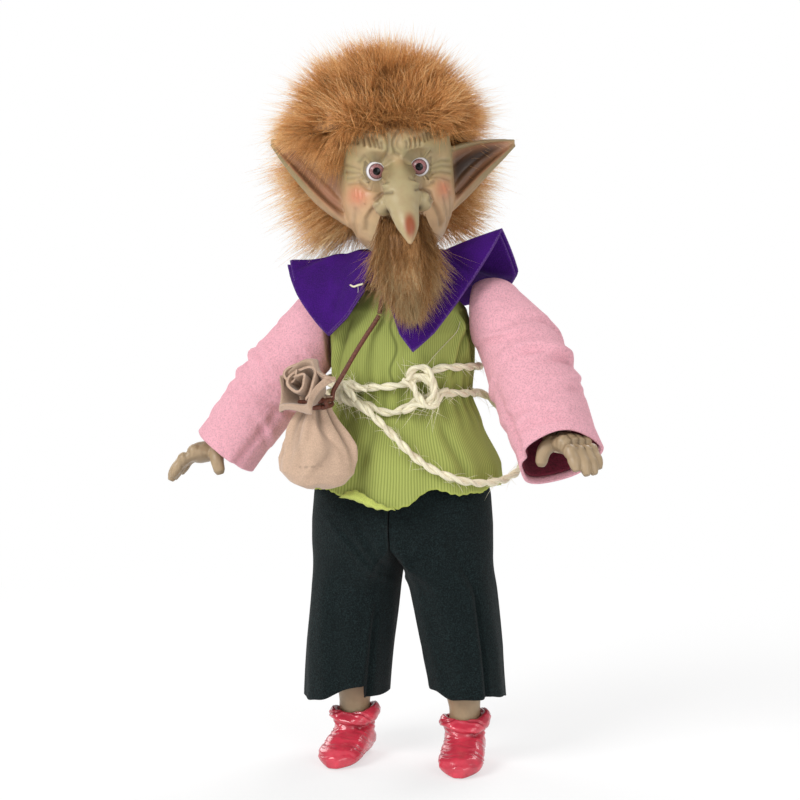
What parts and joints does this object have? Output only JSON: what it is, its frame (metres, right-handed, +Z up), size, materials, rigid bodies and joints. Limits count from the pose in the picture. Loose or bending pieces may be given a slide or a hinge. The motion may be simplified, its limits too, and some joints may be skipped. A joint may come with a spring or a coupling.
{
  "type": "goblin doll",
  "caption": "Standing goblin doll with glass eyes, fur wig and beard, felt collar, cord vest, rope belt, pouch and boots; its head, arms, hands, legs and pouch move.",
  "frame": {"origin": "on the floor, midway under the doll, below its neck", "axes": "+Z up, the chest faces -Y, the doll's left side is +X"},
  "size_m": [0.2011, 0.0963, 0.3286],
  "materials": {
    "skin": "painted olive-beige casting with pink blushes, satin",
    "eye_glass": "white glass with a mauve-brown iris, wet gloss",
    "hair_fur": "ginger long-pile fur",
    "beard_fur": "brown-ginger long-pile fur",
    "purple_felt": "deep purple velour felt with pale raw edges",
    "needlecord": "olive green needlecord, ribs upright",
    "fleece": "pink brushed fleece, dark crimson inside",
    "trouser_felt": "dark green-black felt",
    "body_cloth": "plain stuffed body cloth",
    "boot_red": "glossy red casting",
    "sisal": "pale twisted sisal with loose fibres",
    "leather": "red-brown round leather",
    "pouch_cloth": "beige soft cloth",
    "wood_peg": "turned softwood"
  },
  "bodies": {
    "torso": {"torso_body": "body_cloth", "neck_peg": "wood_peg", "vest": "needlecord", "collar": "purple_felt", "belt_rope_upper": "sisal", "belt_rope_lower": "sisal", "belt_knot_centre": "sisal", "belt_knot_side": "sisal", "rope_tail": "sisal", "thong_neck_loop": "leather", "trouser_seat": "trouser_felt"},
    "head": {"head": "skin", "eye_right": "eye_glass", "eye_left": "eye_glass", "wig": "hair_fur", "beard": "beard_fur"},
    "arm_right": {"sleeve_right": "fleece", "arm_right": "body_cloth"},
    "hand_right": {"hand_right": "skin"},
    "arm_left": {"sleeve_left": "fleece", "arm_left": "body_cloth"},
    "hand_left": {"hand_left": "skin"},
    "leg_right": {"trouser_leg_right": "trouser_felt", "leg_right": "skin", "boot_right": "boot_red"},
    "leg_left": {"trouser_leg_left": "trouser_felt", "leg_left": "skin", "boot_left": "boot_red"},
    "pouch": {"pouch_bag": "pouch_cloth", "pouch_ruffle": "pouch_cloth", "pouch_tie": "leather", "thong_run": "leather"}
  },
  "joints": [
    {"name": "neck_turn", "type": "hinge", "parent": "torso", "child": "head", "pos_m": [0, 0, 0.236], "axis": [0, 0, 1], "range_deg": [-45, 10]},
    {"name": "shoulder_right", "type": "hinge", "parent": "torso", "child": "arm_right", "pos_m": [-0.0393, 0, 0.203], "axis": [1, 0, 0], "range_deg": [-30, 60]},
    {"name": "shoulder_left", "type": "hinge", "parent": "torso", "child": "arm_left", "pos_m": [0.0425, 0, 0.21], "axis": [1, 0, 0], "range_deg": [-60, 60]},
    {"name": "wrist_right", "type": "hinge", "parent": "arm_right", "child": "hand_right", "pos_m": [-0.08195, -0.00375, 0.14625], "axis": [-0.6053, -0.0531, -0.7942], "range_deg": [-40, 40]},
    {"name": "wrist_left", "type": "hinge", "parent": "arm_left", "child": "hand_left", "pos_m": [0.07792, -0.02454, 0.15638], "axis": [0.3949, -0.4631, -0.7935], "range_deg": [-40, 40]},
    {"name": "hip_right", "type": "hinge", "parent": "torso", "child": "leg_right", "pos_m": [-0.0208, 0, 0.097], "axis": [1, 0, 0], "range_deg": [-25, 25]},
    {"name": "hip_left", "type": "hinge", "parent": "torso", "child": "leg_left", "pos_m": [0.0224, 0, 0.097], "axis": [1, 0, 0], "range_deg": [-25, 25]},
    {"name": "pouch_swing", "type": "hinge", "parent": "torso", "child": "pouch", "pos_m": [-0.004, -0.025, 0.2085], "axis": [1, 0, 0], "range_deg": [-25, 0]}
  ]
}
